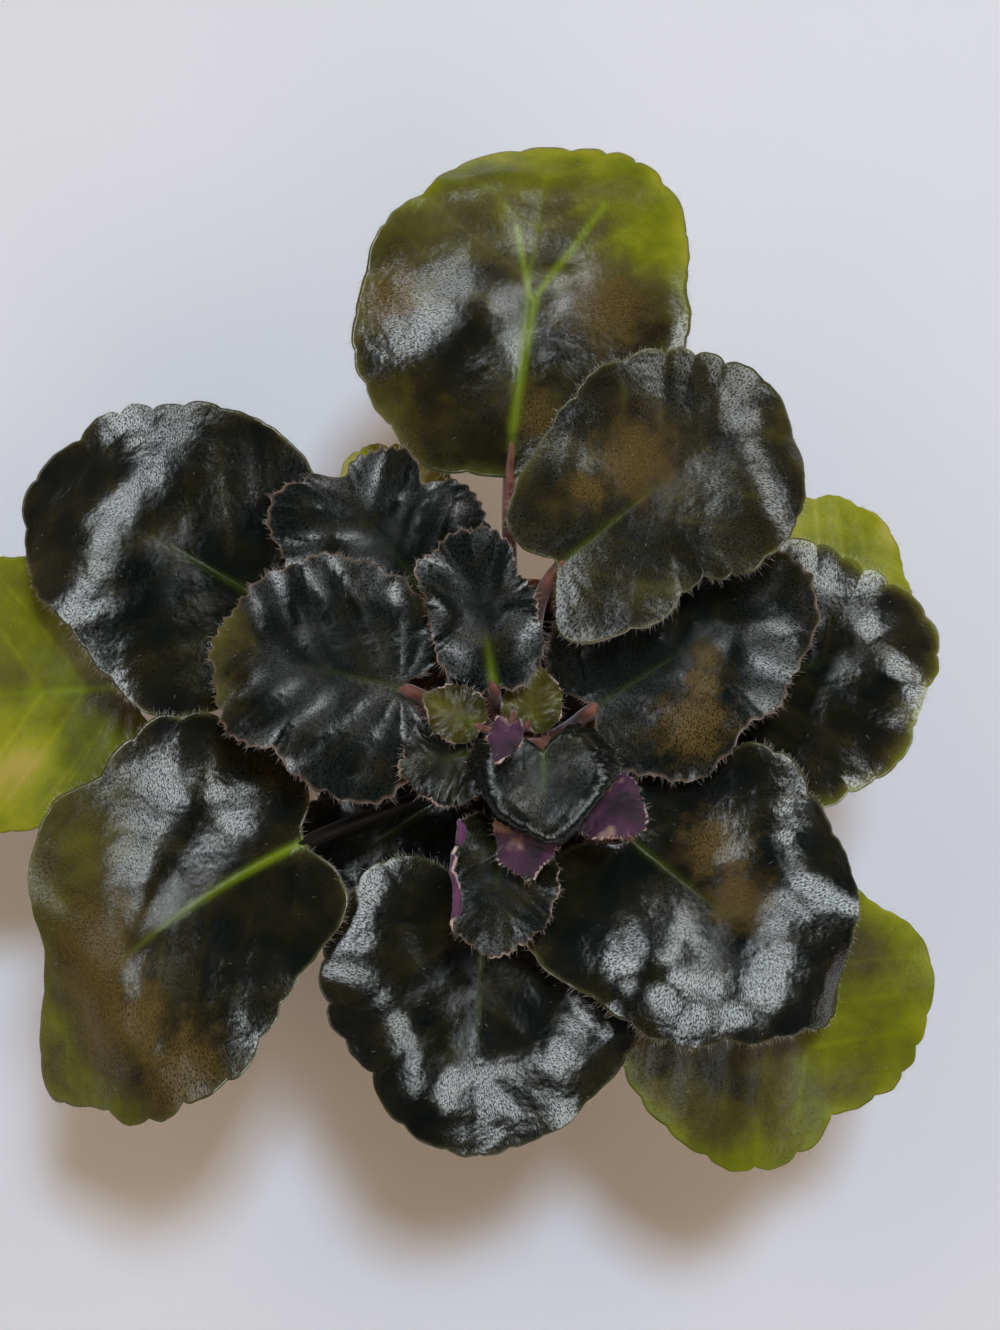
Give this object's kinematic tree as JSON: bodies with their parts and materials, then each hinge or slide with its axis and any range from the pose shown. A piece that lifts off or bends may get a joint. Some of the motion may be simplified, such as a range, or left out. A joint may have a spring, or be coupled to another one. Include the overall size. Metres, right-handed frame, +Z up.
{
  "type": "potted african violet",
  "caption": "Low rosette of round, quilted, hairy leaves with scalloped margins on long petioles, growing from soil in a small tapered round pot.",
  "frame": {"origin": "centre of the pot's flat base, on the surface that the pot stands on", "axes": "+Z up along the pot's axis; +Y towards the top leaf, which is at the top of the picture; +X towards the picture's right"},
  "size_m": [0.2444, 0.2352, 0.121],
  "materials": {
    "pot": "matte",
    "soil": "matte",
    "stem": "matte",
    "leaf_dark": "satin",
    "leaf_lime": "satin"
  },
  "bodies": {
    "root": {"pot": "pot", "soil": "soil", "stem": "stem", "leaf_top": "leaf_dark", "leaf_top_low": "leaf_lime", "leaf_right_low": "leaf_lime", "leaf_right": "leaf_dark", "leaf_lower_right_low": "leaf_lime", "leaf_bottom": "leaf_dark", "leaf_lower_left": "leaf_dark", "leaf_left_low": "leaf_lime", "leaf_left": "leaf_dark", "leaf_under_left": "leaf_dark", "leaf_upper_right": "leaf_dark", "leaf_right_inner": "leaf_dark", "leaf_lower_right": "leaf_dark", "leaf_inner_left": "leaf_dark", "leaf_inner_top_left": "leaf_dark", "leaf_inner_top": "leaf_dark", "leaf_crown_front": "leaf_dark", "leaf_crown_bottom": "leaf_dark", "leaf_crown_left": "leaf_dark", "leaf_crown_top_left": "leaf_lime", "leaf_crown_top": "leaf_lime", "leaf_crown_purple": "leaf_dark", "leaf_crown_right": "leaf_dark", "leaf_crown_tip": "leaf_dark"}
  },
  "joints": []
}
